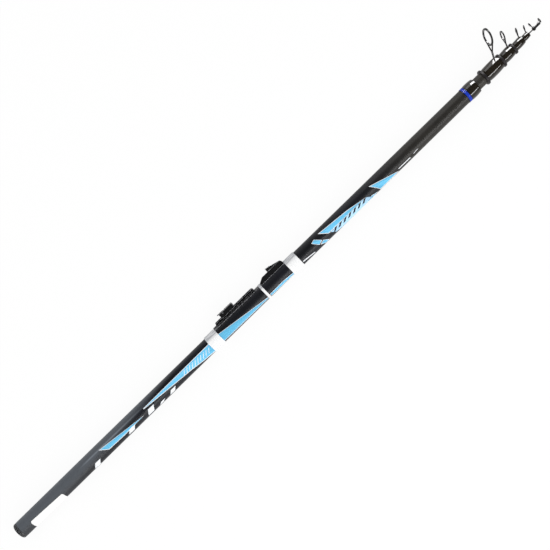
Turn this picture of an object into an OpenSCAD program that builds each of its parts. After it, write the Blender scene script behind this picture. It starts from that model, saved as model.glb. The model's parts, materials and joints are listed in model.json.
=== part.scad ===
// Telescopic fishing rod, closed: nested tapered sections, line guides and a clip reel seat.
// X runs from the butt to the tip, Y points to the guide side and Z is up.
// The origin is the middle of the butt cap's outer face. Sizes are in millimetres.

/* [Nested sections] */
// Length of the butt section, from the butt end to its mouth
butt_len = 957.5; // [700:0.5:1200]
// Length of section 2 that stands out of the butt when closed
show_2 = 50.7; // [45:0.1:70]
// Length of section 3 that stands out of section 2 when closed
show_3 = 25.5; // [22:0.1:40]
// Length of section 4 that stands out of section 3 when closed
show_4 = 22.5; // [20:0.1:36]
// Length of section 5 that stands out of section 4 when closed
show_5 = 12.3; // [11:0.1:20]
// Length of the tip that stands out of section 5 when closed
show_tip = 21.5; // [19:0.5:30]
// Overlap left between the butt and section 2 when drawn out
overlap_2 = 80; // [50:1:140]
// Overlap left between sections 2 and 3 when drawn out
overlap_3 = 70; // [45:1:120]
// Overlap left between sections 3 and 4 when drawn out
overlap_4 = 60; // [40:1:110]
// Overlap left between sections 4 and 5 when drawn out
overlap_5 = 50; // [35:1:100]
// Overlap left between section 5 and the tip when drawn out
overlap_tip = 45; // [30:1:90]
// Wall of the butt at its mouth
butt_wall = 1.15; // [0.8:0.05:2]
// Wall of section 2
wall_2 = 1.05; // [0.7:0.05:1.6]
// Wall of section 3
wall_3 = 1; // [0.7:0.05:1.5]
// Wall of section 4
wall_4 = 1; // [0.6:0.05:1.4]
// Wall of section 5
wall_5 = 1; // [0.6:0.05:1.4]
// Diameter of the tip section at its base
tip_base_od = 5.4; // [4.5:0.1:7]
// Diameter of the tip section at its end
tip_end_od = 1.8; // [1.2:0.1:2.4]
// Taper of the tubes, in millimetres of diameter for each metre of length
taper_per_m = 1.9; // [1:0.1:2.4]
// Radial clearance between two sections when drawn out
slide_fit = 0.05; // [0.02:0.01:0.1]

/* [Butt and cap] */
// Length of the straight grip, from the butt end
grip_len = 160; // [100:5:260]
// Wall of the butt over the grip
grip_wall = 1.5; // [1.3:0.05:3]
// Thickness of the cap's flange
cap_flange_t = 6; // [4:0.5:10]
// Step from the grip's surface down to the cap's rim
cap_inset = 0.1; // [0.05:0.05:0.5]
// Number of finger notches round the cap's rim
cap_notches = 20; // [8:1:30]
// Radius of a finger notch
cap_notch_r = 0.9; // [0.5:0.1:1.2]
// Rounding of the cap's outer edge
cap_round = 2.4; // [0.5:0.1:3]
// Thickness of the cap's end wall
cap_end_t = 4; // [2:0.5:6]
// Length of the cap's threaded shank
shank_len = 13.2; // [9:0.2:20]
// Wall of the cap's hollow shank
shank_wall = 2.4; // [1.5:0.1:4]
// Wall of the threaded insert in the butt end
insert_wall = 0.95; // [0.7:0.05:1.2]
// Radial clearance of the cap's thread
thread_fit = 0.05; // [0.02:0.01:0.1]
// Thickness of the seal under the cap's flange
seal_t = 0.8; // [0.5:0.1:1.5]
// Width of the seal
seal_w = 1.7; // [1:0.1:2]
// Thickness of the cushion that the sections stand on
cushion_t = 3.7; // [2:0.1:6]

/* [Collar] */
// Length of the gloss collar at the mouth of the butt
collar_len = 18; // [12:0.5:30]
// Thickness of the collar at its fullest
collar_rise = 1.2; // [0.6:0.1:2]
// Thickness of the collar where it runs out at the mouth
collar_lip = 0.2; // [0.15:0.05:0.5]
// Length of the coloured band behind the collar
band_len = 6; // [3:0.5:12]
// Thickness of the coloured band
band_t = 0.6; // [0.2:0.05:0.8]

/* [Stop rings and wraps] */
// Length of a stop ring
stop_len = 4.5; // [3:0.1:6]
// Distance from the mouth of the butt to the stop ring of section 2
stop_2_gap = 15; // [8:0.5:18]
// Height of stop ring 2 above its section
stop_2_rise = 3.3; // [2:0.1:4.5]
// Height of stop ring 3 above its section
stop_3_rise = 3.8; // [2.4:0.1:4.5]
// Height of stop ring 4 above its section
stop_4_rise = 3.7; // [2.4:0.1:4.5]
// Thickness of wrap 2 at its fullest
wrap_2_rise = 1.7; // [1.3:0.1:3]
// Thickness of wrap 3 at its fullest
wrap_3_rise = 1.5; // [1.2:0.1:2.6]
// Thickness of wrap 4 at its fullest
wrap_4_rise = 1.4; // [1.1:0.1:2.4]
// Thickness of wrap 5 at its fullest
wrap_5_rise = 1.3; // [1:0.1:2]
// Thickness of a wrap at its two ends
wrap_edge = 0.5; // [0.3:0.05:0.8]

/* [Guides] */
// Forward lean of the guide frame on section 2, in degrees
guide_2_lean = 20; // [5:1:35]
// Forward lean of the guide frame on section 3, in degrees
guide_3_lean = 19; // [5:1:35]
// Forward lean of the guide frame on section 4, in degrees
guide_4_lean = 27; // [5:1:35]
// Forward lean of the guide frame on section 5, in degrees
guide_5_lean = 28; // [5:1:35]
// Opening of the guide ring on section 2
guide_2_bore = 21.4; // [16:0.2:26]
// Opening of the guide ring on section 3
guide_3_bore = 11.3; // [8:0.1:14]
// Opening of the guide ring on section 4
guide_4_bore = 6.3; // [5:0.1:8]
// Opening of the guide ring on section 5
guide_5_bore = 4.4; // [3.4:0.1:6]
// Height of the ring's centre above the rod's axis on section 2
guide_2_high = 43; // [36:0.5:56]
// Height of the ring's centre above the rod's axis on section 3
guide_3_high = 25.2; // [21:0.2:32]
// Height of the ring's centre above the rod's axis on section 4
guide_4_high = 16.2; // [13.5:0.1:20]
// Height of the ring's centre above the rod's axis on section 5
guide_5_high = 11.8; // [9.5:0.1:15]
// Turn of section 2 about the rod's axis, in degrees
turn_2 = 25; // [-45:1:45]
// Turn of section 3 about the rod's axis, in degrees
turn_3 = 8; // [-45:1:45]
// Turn of section 4 about the rod's axis, in degrees
turn_4 = -12; // [-45:1:45]
// Turn of section 5 about the rod's axis, in degrees
turn_5 = -15; // [-45:1:45]
// Distance from the mouth of section 2 back to the leg of its guide
guide_2_back = 4.4; // [3:0.1:6]
// Distance from the mouth of section 3 back to the leg of its guide
guide_3_back = 2.4; // [1.8:0.1:4]
// Distance from the mouth of section 4 back to the leg of its guide
guide_4_back = 2.2; // [1.8:0.1:4]
// Distance from the mouth of section 5 back to the leg of its guide
guide_5_back = 1.8; // [1.8:0.1:3]
// Radial thickness of the ring inserts, from section 2 to section 5
insert_ts = [1.6, 1.1, 0.8, 0.65]; // [0.4:0.05:2.5]
// Radial thickness of the hoops round them
hoop_ts = [1.6, 1.2, 1, 0.9]; // [0.6:0.1:2.5]
// Thickness of the frames' sheet
sheet_ts = [1.9, 1.6, 1.4, 1.3]; // [0.8:0.1:2.2]
// Width of the frames' legs below the fork
leg_ws = [3.4, 2.6, 2, 1.8]; // [1.4:0.1:4]
// Width of the two arms above the fork
arm_ws = [1.7, 1.3, 1, 0.9]; // [0.6:0.1:2.2]
// Height of the fork above the section's surface, along the leg
fork_hs = [13, 6.5, 2.6, 1.6]; // [1:0.1:16]
// Length of the frames' feet
foot_lens = [21, 13, 9.5, 5.5]; // [4:0.5:24]
// Width of the frames' feet
foot_ws = [5, 4, 3.2, 2.6]; // [2:0.1:6]
// Thickness of a guide's foot
guide_foot_t = 0.7; // [0.5:0.05:1]
// Radial gap of the lacquer under a guide's foot and round it
lacquer_gap = 0.1; // [0.05:0.01:0.2]

/* [Reel seat] */
// Distance from the butt end to the seat plate
seat_x = 421.5; // [300:0.5:560]
// Length of the seat plate between its feet
seat_len = 144; // [132:1:170]
// Width of the seat plate
seat_w = 15.6; // [14.6:0.2:18]
// Thickness of the seat plate's saddle
saddle_t = 1.2; // [0.8:0.1:1.6]
// Height of the reel foot's rest above the blank
rest_h = 5.8; // [4.2:0.1:7]
// Distance from the back of the seat plate to its rail
rail_setback = 8; // [4:0.5:9]
// Length of the rail that the sliding hood runs on
rail_len = 76; // [70:1:80]
// Width of the rail's head
rail_w = 13; // [12:0.2:14]
// Width of the rail's web
web_w = 8.6; // [7:0.2:9]
// Thickness of the rail's head
head_t = 1.8; // [1.4:0.1:2]
// Length of the ramp up to the reel foot's front rest
ramp_len = 9; // [6:0.5:11]
// Length of the front rest before the fixed hood's mouth
rest_len = 11.5; // [8:0.5:14]
// Length of a foot under its binding
seat_foot_len = 14; // [8:1:18]
// Thickness of a foot
seat_foot_t = 0.6; // [0.4:0.1:0.8]
// Width of a foot
seat_foot_w = 8; // [5:0.5:12]
// Height of the hoods' mouths above the rest
mouth_h = 4.8; // [4.4:0.1:6]
// Width of the hoods' mouths
mouth_w = 14.4; // [13.4:0.2:15]
// Wall of the hoods
hood_wall = 1.3; // [1:0.1:2]
// Length of the fixed hood
fixed_hood_len = 24.5; // [20:0.5:28]
// Distance from the fixed hood to the front of the seat plate
hood_setback = 2.5; // [2:0.1:5]
// Depth of the fixed hood's mouth
mouth_depth = 13; // [10:0.5:16]
// Distance from the fixed hood's mouth to the ridge across its top
ridge_back = 7; // [4:0.5:10]
// Diameter of that ridge
ridge_d = 1.5; // [0.9:0.1:2.1]
// Length of the sliding hood
slide_hood_len = 26; // [24:0.5:28]
// Distance from the back of the rail to the sliding hood
slide_hood_x = 12; // [8:0.5:14]
// Running gap between the sliding hood and the rail
rail_gap = 0.25; // [0.15:0.05:0.3]
// Length of a wide white binding
binding_len = 20.5; // [16:0.5:30]
// Length of the narrow binding at the waist
waist_len = 4; // [2:0.5:7]
// Thickness of the bindings
binding_t = 0.6; // [0.3:0.05:1]

/* [Lock lever] */
// Distance from the back of the sliding hood to the lever's pin
pin_setback = 7; // [6:0.5:8]
// Distance from the hood's side to the end of the pin
pin_inset = 0.5; // [0.2:0.1:1]
// Length of the lever from its pin to its free end
lever_len = 9.6; // [8:0.2:12]
// Thickness of the lever's plate
lever_t = 1.7; // [1.2:0.1:2]
// Width of the lever
lever_w = 9.6; // [7:0.2:10.2]
// Diameter of the lever's pin
pin_d = 1.8; // [1.2:0.1:2]
// Radial clearance of the lever on its pin
pin_fit = 0.05; // [0.02:0.01:0.1]
// Diameter of a thumb rib
rib_d = 1; // [0.6:0.1:1.4]
// Distance between two thumb ribs
rib_pitch = 3.9; // [3:0.1:4.4]

/* [Tip] */
// Length of the tip-top's tube
top_tube_len = 9.8; // [7:0.1:12]
// Wall of the tip-top's tube
top_tube_wall = 0.9; // [0.5:0.05:1.2]
// Opening of the tip-top's ring
top_bore = 4.8; // [4:0.1:6]
// Height of the tip-top ring's centre above the rod's axis
top_high = 3.3; // [2.6:0.1:5]
// Distance from the end of the tip-top's tube to its ring
top_reach = 2.5; // [2:0.1:4]
// Forward lean of the tip-top's ring, in degrees
top_lean = 5; // [0:1:30]
// Radial thickness of the insert in the tip-top's ring
top_insert_t = 0.6; // [0.4:0.05:1]
// Radial thickness of the tip-top's hoop
top_hoop_t = 0.9; // [0.6:0.05:1.2]
// Length of the tip-top's hoop along its own axis
top_sheet = 0.9; // [0.6:0.05:1.2]
// Distance from the back of the tip-top's tube to the foot of its stays
stay_back = 3; // [2:0.1:5]
// Thickness of the tip-top's support wires
wire_d = 0.8; // [0.6:0.05:1]
// Thickness of the two stays to the top of the tip-top's ring
stay_d = 0.55; // [0.4:0.05:0.55]
// Distance that the floating guide runs back along the tip
float_travel = 400; // [200:10:500]
// Length of the floating guide's tube
float_len = 4.5; // [3:0.1:5]
// Wall of the floating guide's tube
float_wall = 1.5; // [0.5:0.05:2]
// Opening of the floating guide's ring
float_bore = 3.2; // [2.6:0.1:4]
// Radial thickness of the insert in the floating ring
float_insert_t = 0.6; // [0.4:0.05:1]
// Radial thickness of the floating guide's hoop
float_hoop_t = 0.8; // [0.6:0.05:1.2]
// Thickness of the floating guide's hoop and leg
float_sheet = 0.9; // [0.6:0.05:1.2]
// Width of the floating guide's leg
float_leg_w = 1.8; // [1:0.1:2.6]
// Height of the floating ring's centre above the rod's axis
float_high = 8.9; // [7.5:0.1:11]

/* [Hidden] */
$fn = 48;

// Clearances shared by every piece
glue_gap = 0.05;
seat_gap = 0.3;
flat_gap = 0.1;
waist_gap = 0.5;
bury = 0.5;
reach = 200;
// A cutting shape runs this far past what it cuts
over = 1;

// Values for each section, counted from section 2
shows = [show_2, show_3, show_4, show_5];
overlaps = [overlap_2, overlap_3, overlap_4, overlap_5, overlap_tip];
walls = [butt_wall, wall_2, wall_3, wall_4, wall_5];
stop_rises = [stop_2_rise, stop_3_rise, stop_4_rise];
wrap_rises = [wrap_2_rise, wrap_3_rise, wrap_4_rise, wrap_5_rise];
turns = [turn_2, turn_3, turn_4, turn_5];
guide_bores = [guide_2_bore, guide_3_bore, guide_4_bore, guide_5_bore];
guide_highs = [guide_2_high, guide_3_high, guide_4_high, guide_5_high];
leans = [guide_2_lean, guide_3_lean, guide_4_lean, guide_5_lean];
leg_backs = [guide_2_back, guide_3_back, guide_4_back, guide_5_back];

taper = taper_per_m / 1000;
tube_x = cap_flange_t + seal_t + flat_gap;
shank_end = cap_flange_t + shank_len;
base_x = shank_end + cushion_t + seat_gap;

// Section 1 is the butt and section 6 is the tip
function mouth_x(n) = n == 1 ? butt_len : mouth_x(n - 1) + shows[n - 2];
function base_od(n) = n == 6 ? tip_base_od : mouth_od(n) + taper * (mouth_x(n) - base_x);
function mouth_bore(n) = base_od(n + 1) + 2 * slide_fit - taper * overlaps[n - 1];
function mouth_od(n) = mouth_bore(n) + 2 * walls[n - 1];
function bore_r(n, x) = (mouth_bore(n) + taper * (mouth_x(n) - x)) / 2;
function tube_r(n, x) = (mouth_od(n) + taper * (mouth_x(n) - x)) / 2;
function travel(n) = mouth_x(n - 1) - base_x - overlaps[n - 2];

tip_end = mouth_x(5) + show_tip;
function tip_r(x) = (tip_end_od + (tip_base_od - tip_end_od) * (tip_end - x) / (tip_end - base_x)) / 2;

// The butt: a straight grip, then a taper up to the collar
// Section 2 is drawn out through the open thread of the butt end
collar_x = butt_len - collar_len;
draw_gap = 0.35;
thread_r = base_od(2) / 2 + draw_gap;
insert_r = thread_r + insert_wall;
grip_r = bore_r(1, tube_x) + grip_wall;
mouth_r = mouth_od(1) / 2;
function butt_r(x) = x <= grip_len ? grip_r
    : x >= collar_x ? mouth_r
    : grip_r + (mouth_r - grip_r) * (x - grip_len) / (collar_x - grip_len);

// The seat, measured from the back of its plate
seat_end = seat_x + seat_len;
rest_y = butt_r(seat_x) + rest_h;
rail_x = seat_x + rail_setback;
rail_end = rail_x + rail_len;
hood_x = seat_end - hood_setback - fixed_hood_len;
ramp_x = max(rail_end + waist_len + 2 * waist_gap, hood_x - rest_len - ramp_len);
ramp_end = ramp_x + ramp_len;
hood_w = mouth_w + 2 * hood_wall;
hood_top = rest_y + mouth_h + hood_wall;
slide_x = rail_x + slide_hood_x;
slide_end = slide_x + slide_hood_len;
waist_x = ramp_x - waist_gap - waist_len;

// The lever's pin stands on the hood's cheeks above the rail
pin_x = slide_x + pin_setback;
barrel_r = 2.2;
cam_throw = 0.4;
cam_gap = 0.2;
pin_y = rest_y + barrel_r + cam_throw + cam_gap;
swing_gap = 0.4;
swing_r = sqrt(pow(hood_top - pin_y, 2) + pow(barrel_r, 2)) + swing_gap;
roof_x = pin_x + swing_r;
cheek_z = lever_w / 2 + rail_gap;
// The plate's blocks start inside the blank and are cut off at its surface
seat_root = 3;
// Step of the plate's two ends above its saddle
step_h = 0.9;

// Solids turned about the rod's axis, from points of [x, radius]
module spin_x(points) {
    rotate([0, 90, 0])
        rotate_extrude()
            polygon([for (p = points) [p[1], p[0]]]);
}

// A sleeve between two radii at each end
module sleeve(x0, x1, in0, in1, out0, out1) {
    spin_x([[x0, in0], [x0, out0], [x1, out1], [x1, in1]]);
}

// The blank under the seat, larger by a gap
module butt_core(gap) {
    spin_x([[grip_len, 0], [grip_len, grip_r + gap], [collar_x, mouth_r + gap], [collar_x, 0]]);
}

// A bar of a sheet's outline in X and Y, across the rod
module across(width) {
    translate([0, 0, -width / 2])
        linear_extrude(width)
            children();
}

// A bar along the rod from an outline in Z and Y
module along(x0, length) {
    translate([x0, 0, 0])
        rotate([0, 90, 0])
            linear_extrude(length)
                children();
}

// A round wire between two points
module wire(a, b, d) {
    v = b - a;
    length = norm(v);
    translate(a)
        rotate([0, acos(v[2] / length), atan2(v[1], v[0])])
            cylinder(h = length, d = d);
}

// A lacquered barrel over a tube: fullest a third of the way along, with full shoulders
wrap_steps = 12;
fullest = 0.7;
shoulder = 0.8;
function swell(u) = pow(sin(180 * pow(u, fullest)), shoulder);

module barrel(x0, x1, rise, r0, r1, edge0, edge1) {
    top = [for (i = [0:wrap_steps])
        let (u = i / wrap_steps, edge = edge0 + (edge1 - edge0) * u)
        [x0 + (x1 - x0) * u, r0 + (r1 - r0) * u + edge + (rise - edge) * swell(u)]];
    spin_x(concat([[x0, r0 + glue_gap]], top, [[x1, r1 + glue_gap]]));
}

module butt_section() {
    color([0.16, 0.16, 0.17])
        spin_x([
            [tube_x, insert_r + glue_gap], [tube_x, grip_r], [grip_len, grip_r],
            [collar_x, mouth_r], [butt_len, mouth_r], [butt_len, bore_r(1, butt_len)],
            [shank_end + flat_gap, bore_r(1, shank_end)], [shank_end + flat_gap, insert_r + glue_gap]
        ]);
}

// The collar starts flush with the band and runs out at the mouth
module butt_collar() {
    color([0.1, 0.09, 0.08])
        barrel(collar_x, butt_len, collar_rise, mouth_r, mouth_r, band_t, collar_lip);
}

module butt_band() {
    x0 = collar_x - band_len;
    color([0.2, 0.3, 0.8])
        sleeve(x0, collar_x, butt_r(x0) + glue_gap, mouth_r + glue_gap,
            butt_r(x0) + band_t, mouth_r + band_t);
}

module butt_insert() {
    color([0.7, 0.7, 0.72])
        sleeve(tube_x, shank_end, thread_r, thread_r, insert_r, insert_r);
}

// A hollow screw cap whose flange is notched for the fingers
module butt_cap() {
    rim_r = grip_r - cap_inset;
    round_steps = 6;
    corner = [for (i = [0:round_steps])
        let (a = 90 * i / round_steps)
        [cap_round * (1 - sin(a)), rim_r - cap_round * (1 - cos(a))]];
    shank_r = thread_r - thread_fit;
    color([0.09, 0.09, 0.1])
        difference() {
            spin_x(concat(
                [[0, 0]], [for (i = [round_steps:-1:0]) corner[i]],
                [[cap_flange_t, rim_r], [cap_flange_t, shank_r], [shank_end, shank_r]],
                [[shank_end, shank_r - shank_wall], [cap_end_t, shank_r - shank_wall], [cap_end_t, 0]]));
            for (i = [0:cap_notches - 1])
                rotate([360 * i / cap_notches, 0, 0])
                    translate([cap_round, 0, rim_r + cap_notch_r / 2])
                        rotate([0, 90, 0])
                            cylinder(h = cap_flange_t, r = cap_notch_r);
        }
}

module cap_seal() {
    in_r = thread_r + thread_fit;
    color([0.05, 0.05, 0.05])
        sleeve(cap_flange_t, cap_flange_t + seal_t, in_r, in_r, in_r + seal_w, in_r + seal_w);
}

module cap_cushion() {
    r = thread_r - thread_fit - glue_gap;
    edge = 0.8;
    color([0.12, 0.12, 0.12])
        spin_x([[shank_end, 0], [shank_end, r], [shank_end + cushion_t - edge, r],
            [shank_end + cushion_t, r - edge], [shank_end + cushion_t, 0]]);
}

// Side view of the plate: back step, rail, waist, ramp, hood rest and front slope
module seat_side() {
    nose_r = 3;
    nose_steps = 6;
    slope = 2;
    low = butt_r(seat_x) - seat_root;
    step_y = butt_r(seat_x) + saddle_t + step_h;
    nose = [for (i = [0:nose_steps])
        let (a = 90 * (1 - i / nose_steps))
        [rail_end - nose_r + nose_r * cos(a), rest_y - nose_r + nose_r * sin(a)]];
    waist_y = low + bury;
    polygon(concat(
        [[seat_x, low], [seat_x, step_y], [rail_x - slope, step_y], [rail_x, rest_y]], nose,
        [[rail_end, waist_y], [ramp_x, waist_y], [ramp_x, butt_r(ramp_end) + saddle_t]],
        [[ramp_end, rest_y], [seat_end - slope, rest_y], [seat_end, step_y], [seat_end, low]]));
}

// End view of the rail: a head on a narrower web, open for the hood's hooks
module rail_section(height) {
    low = butt_r(seat_x) - seat_root;
    polygon([
        [-web_w / 2, low], [-web_w / 2, height - head_t], [-rail_w / 2, height - head_t],
        [-rail_w / 2, height], [rail_w / 2, height], [rail_w / 2, height - head_t],
        [web_w / 2, height - head_t], [web_w / 2, low]
    ]);
}

// A strip along the blank between two heights over its surface, facing the guide side
module strip(x0, x1, width, low, high) {
    intersection() {
        sleeve(x0, x1, butt_r(x0) + low, butt_r(x1) + low, butt_r(x0) + high, butt_r(x1) + high);
        translate([x0 - over, 0, -width / 2])
            cube([x1 - x0 + 2 * over, reach, width]);
    }
}

module seat_plate() {
    color([0.07, 0.07, 0.07]) {
        difference() {
            union() {
                strip(seat_x, seat_end, seat_w, -bury, glue_gap + saddle_t);
                intersection() {
                    across(seat_w) seat_side();
                    along(seat_x, rail_end - seat_x) rail_section(rest_y);
                }
                intersection() {
                    across(seat_w) seat_side();
                    translate([ramp_x, 0, -seat_w / 2])
                        cube([seat_end - ramp_x, reach, seat_w]);
                }
                strip(seat_x - seat_foot_len, seat_x + over, seat_foot_w, -bury, glue_gap + seat_foot_t);
                strip(seat_end - over, seat_end + seat_foot_len, seat_foot_w, -bury, glue_gap + seat_foot_t);
            }
            butt_core(glue_gap);
        }
    }
}

// A band round the blank that swells over the part of the plate beneath it
module binding(x0, x1, under_w, under_t) {
    lift = under_t + 2 * glue_gap;
    color([0.95, 0.95, 0.95])
        difference() {
            union() {
                sleeve(x0, x1, butt_r(x0) + glue_gap, butt_r(x1) + glue_gap,
                    butt_r(x0) + binding_t, butt_r(x1) + binding_t);
                strip(x0, x1, under_w + 4 * binding_t, glue_gap, glue_gap + lift + binding_t);
            }
            strip(x0 - over, x1 + over, under_w + 2 * glue_gap, 0, glue_gap + lift);
        }
}

module back_binding() {
    binding(seat_x - flat_gap - binding_len, seat_x - flat_gap, seat_foot_w, seat_foot_t);
}

module waist_binding() {
    binding(waist_x, waist_x + waist_len, seat_w, saddle_t);
}

module front_binding() {
    binding(seat_end + flat_gap, seat_end + flat_gap + binding_len, seat_foot_w, seat_foot_t);
}

// End view of a hood: straight walls under a crowned roof
module hood_arch(low, high, width) {
    crown = 1.4;
    crown_r = (width * width / 4 + crown * crown) / (2 * crown);
    intersection() {
        translate([-width / 2, low])
            square([width, high - low]);
        translate([0, high - crown_r])
            circle(r = crown_r, $fn = 96);
    }
}

// The fixed hood slopes down from its mouth, which faces the butt, with a ridge across its top
module fixed_hood() {
    lip_t = 0.6;
    lip_len = 2;
    fall = mouth_h + hood_wall - lip_t;
    end_x = hood_x + fixed_hood_len;
    drop = fall * mouth_depth / fixed_hood_len;
    ridge_y = hood_top - fall * ridge_back / fixed_hood_len;
    color([0.07, 0.07, 0.07])
        difference() {
            union() {
                intersection() {
                    across(hood_w)
                        polygon([[hood_x, rest_y], [hood_x, hood_top], [end_x - lip_len, hood_top - fall],
                            [end_x, rest_y + lip_t / 3], [end_x, rest_y]]);
                    along(hood_x, fixed_hood_len) hood_arch(rest_y, hood_top, hood_w);
                }
                translate([hood_x + ridge_back, ridge_y, 0])
                    across(hood_w / 2)
                        circle(d = ridge_d);
            }
            across(mouth_w)
                polygon([[hood_x - over, rest_y - over], [hood_x - over, rest_y + mouth_h],
                    [hood_x, rest_y + mouth_h], [hood_x + mouth_depth, rest_y + mouth_h - drop],
                    [hood_x + mouth_depth, rest_y - over]]);
        }
}

// The sliding hood hooks under the rail's head; its mouth faces the fixed hood
module sliding_hood() {
    hook_t = 1;
    hook_y = rest_y - head_t - rail_gap;
    slot_w = rail_w + 2 * rail_gap;
    neck_w = web_w + 2 * rail_gap;
    rib_w = 0.6 * mouth_w;
    color([0.06, 0.06, 0.06])
        difference() {
            union() {
                along(slide_x, slide_hood_len) hood_arch(hook_y - hook_t, hood_top, hood_w);
                for (x = [roof_x + rib_d : rib_pitch : slide_end - rib_d])
                    translate([x, hood_top - rib_d / 4, 0])
                        across(rib_w)
                            circle(d = rib_d);
            }
            // room for the rail's head and web
            across(slot_w)
                translate([slide_x - over, hook_y])
                    square([slide_hood_len + 2 * over, head_t + 2 * rail_gap]);
            across(neck_w)
                translate([slide_x - over, hook_y - hook_t - over])
                    square([slide_hood_len + 2 * over, hook_t + 2 * over]);
            // mouth
            across(mouth_w)
                translate([roof_x + hood_wall, rest_y])
                    square([slide_hood_len, mouth_h]);
            // bay for the lever between the cheeks
            across(2 * cheek_z)
                translate([slide_x - over, rest_y])
                    square([roof_x - slide_x + over, reach]);
            translate([pin_x, pin_y, 0])
                across(hood_w + 2 * over)
                    circle(d = pin_d + 2 * glue_gap);
        }
}

// A thumb plate on an eccentric barrel, whose full side bears on the rail when the lever lies shut
module lock_lever() {
    plate_y = hood_top - lever_t;
    free_x = pin_x - lever_len;
    heel_x = pin_x + barrel_r - cam_gap;
    edge = 0.4;
    rib_w = lever_w - 3 * edge;
    color([0.08, 0.08, 0.08])
        difference() {
            union() {
                across(lever_w)
                    translate([pin_x, pin_y - cam_throw])
                        circle(r = barrel_r);
                across(lever_w)
                    polygon([[free_x, plate_y + edge], [free_x, hood_top - edge], [free_x + edge, hood_top],
                        [heel_x, hood_top], [heel_x, pin_y], [pin_x - barrel_r, pin_y],
                        [pin_x - 1.5 * barrel_r, plate_y]]);
                for (x = [free_x + 2 * rib_d : rib_pitch : pin_x + rib_d])
                    translate([x, hood_top - rib_d / 4, 0])
                        across(rib_w)
                            circle(d = rib_d);
            }
            translate([pin_x, pin_y, 0])
                across(lever_w + 2 * over)
                    circle(d = pin_d + 2 * pin_fit);
        }
}

module lever_pin() {
    color([0.7, 0.7, 0.72])
        translate([pin_x, pin_y, 0])
            across(hood_w - 2 * pin_inset)
                circle(d = pin_d);
}

// A tapered tube of the nest, from its base to its mouth
module section(n) {
    x1 = mouth_x(n);
    color([0.17, 0.17, 0.16])
        sleeve(base_x, x1, bore_r(n, base_x), bore_r(n, x1), tube_r(n, base_x), tube_r(n, x1));
}

function stop_x(n) = n == 2 ? butt_len + stop_2_gap : mouth_x(n - 1) + seat_gap;

module stop_ring(n) {
    x0 = stop_x(n);
    x1 = x0 + stop_len;
    r = tube_r(n, x0);
    rise = stop_rises[n - 2];
    edge = 0.9;
    color([0.2, 0.18, 0.19])
        spin_x([
            [x0, r + glue_gap], [x0, r + rise - edge], [x0 + edge, r + rise],
            [x1 - edge, r + rise], [x1, r + rise - edge], [x1, tube_r(n, x1) + glue_gap]
        ]);
}

// Where a guide's leg meets its section, and the way along the leg to the ring's centre
function leg_x(n) = mouth_x(n) - leg_backs[n - 2];
function leg_r(n) = tube_r(n, leg_x(n)) + lacquer_gap;
function leg_len(n) = (guide_highs[n - 2] - leg_r(n)) / cos(leans[n - 2]);
function hoop_in(n) = guide_bores[n - 2] / 2 + insert_ts[n - 2] + glue_gap;
function hoop_out(n) = hoop_in(n) + hoop_ts[n - 2];

// Places a flat shape in a guide's leaning plane: Y runs up the leg, X across the rod
module guide_plane(n) {
    rotate([turns[n - 2], 0, 0])
        translate([leg_x(n), leg_r(n), 0])
            rotate([0, 0, -leans[n - 2]])
                rotate([0, -90, 0])
                    children();
}

// The foot of a guide lies along its section, larger by a gap for its pocket
module guide_foot(n, gap) {
    x1 = leg_x(n) + sheet_ts[n - 2] / 2 + gap;
    x0 = leg_x(n) - foot_lens[n - 2] - gap;
    w = foot_ws[n - 2] + 2 * gap;
    low = lacquer_gap - gap;
    high = lacquer_gap + guide_foot_t + gap;
    rotate([turns[n - 2], 0, 0])
        intersection() {
            sleeve(x0, x1, tube_r(n, x0) + low, tube_r(n, x1) + low,
                tube_r(n, x0) + high, tube_r(n, x1) + high);
            translate([x0 - over, 0, -w / 2])
                cube([x1 - x0 + 2 * over, reach, w]);
        }
}

// A hoop on a forked leg, stamped from one sheet; the arms run past the hoop's sides
module guide_outline(n) {
    i = n - 2;
    rise = leg_len(n);
    fork = fork_hs[i];
    leg_w = leg_ws[i];
    arm_w = arm_ws[i];
    arm_r = hoop_out(n) - hoop_ts[i] / 4;
    hold = asin(min(1, arm_r / (rise - fork)));
    outer = [arm_r * cos(hold), rise - arm_r * sin(hold)];
    inner = outer - arm_w * [cos(hold), -sin(hold)];
    root = fork - arm_w / 2;
    difference() {
        union() {
            translate([0, rise])
                circle(r = hoop_out(n), $fn = 96);
            translate([-leg_w / 2, -bury])
                square([leg_w, fork + bury]);
            for (side = [-1, 1])
                polygon([[side * leg_w / 2, root], [side * outer[0], outer[1]],
                    [side * inner[0], inner[1]], [side * (leg_w / 2 - arm_w), root]]);
        }
        translate([0, rise])
            circle(r = hoop_in(n), $fn = 96);
    }
}

module guide(n) {
    t = sheet_ts[n - 2];
    x0 = leg_x(n) - reach / 2;
    x1 = leg_x(n) + reach / 2;
    color([0.12, 0.12, 0.12])
        difference() {
            union() {
                guide_plane(n)
                    translate([0, 0, -t / 2])
                        linear_extrude(t)
                            guide_outline(n);
                guide_foot(n, 0);
            }
            sleeve(x0, x1, 0, 0, tube_r(n, x0) + lacquer_gap, tube_r(n, x1) + lacquer_gap);
        }
}

// A ring with a straight throat and flared lips, set in a hoop
throat_share = 0.3;
flare_share = 0.55;
lip_out = 0.25;
function ring_points(bore, insert_t, t) =
    let (r = bore / 2, throat = t * throat_share, flare = insert_t * flare_share, half = t / 2 + lip_out)
    concat(
        [for (i = [0:4])
            let (a = 90 * i / 4)
            [r + flare * (1 - cos(a)), throat + (half - throat) * sin(a)]],
        [[r + insert_t, t / 2], [r + insert_t, -t / 2]],
        [for (i = [4:-1:0])
            let (a = 90 * i / 4)
            [r + flare * (1 - cos(a)), -throat - (half - throat) * sin(a)]]);

module guide_ring(n) {
    i = n - 2;
    color([0.25, 0.25, 0.26])
        guide_plane(n)
            translate([0, leg_len(n), 0])
                rotate_extrude($fn = 96)
                    polygon(ring_points(guide_bores[i], insert_ts[i], sheet_ts[i]));
}

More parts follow.
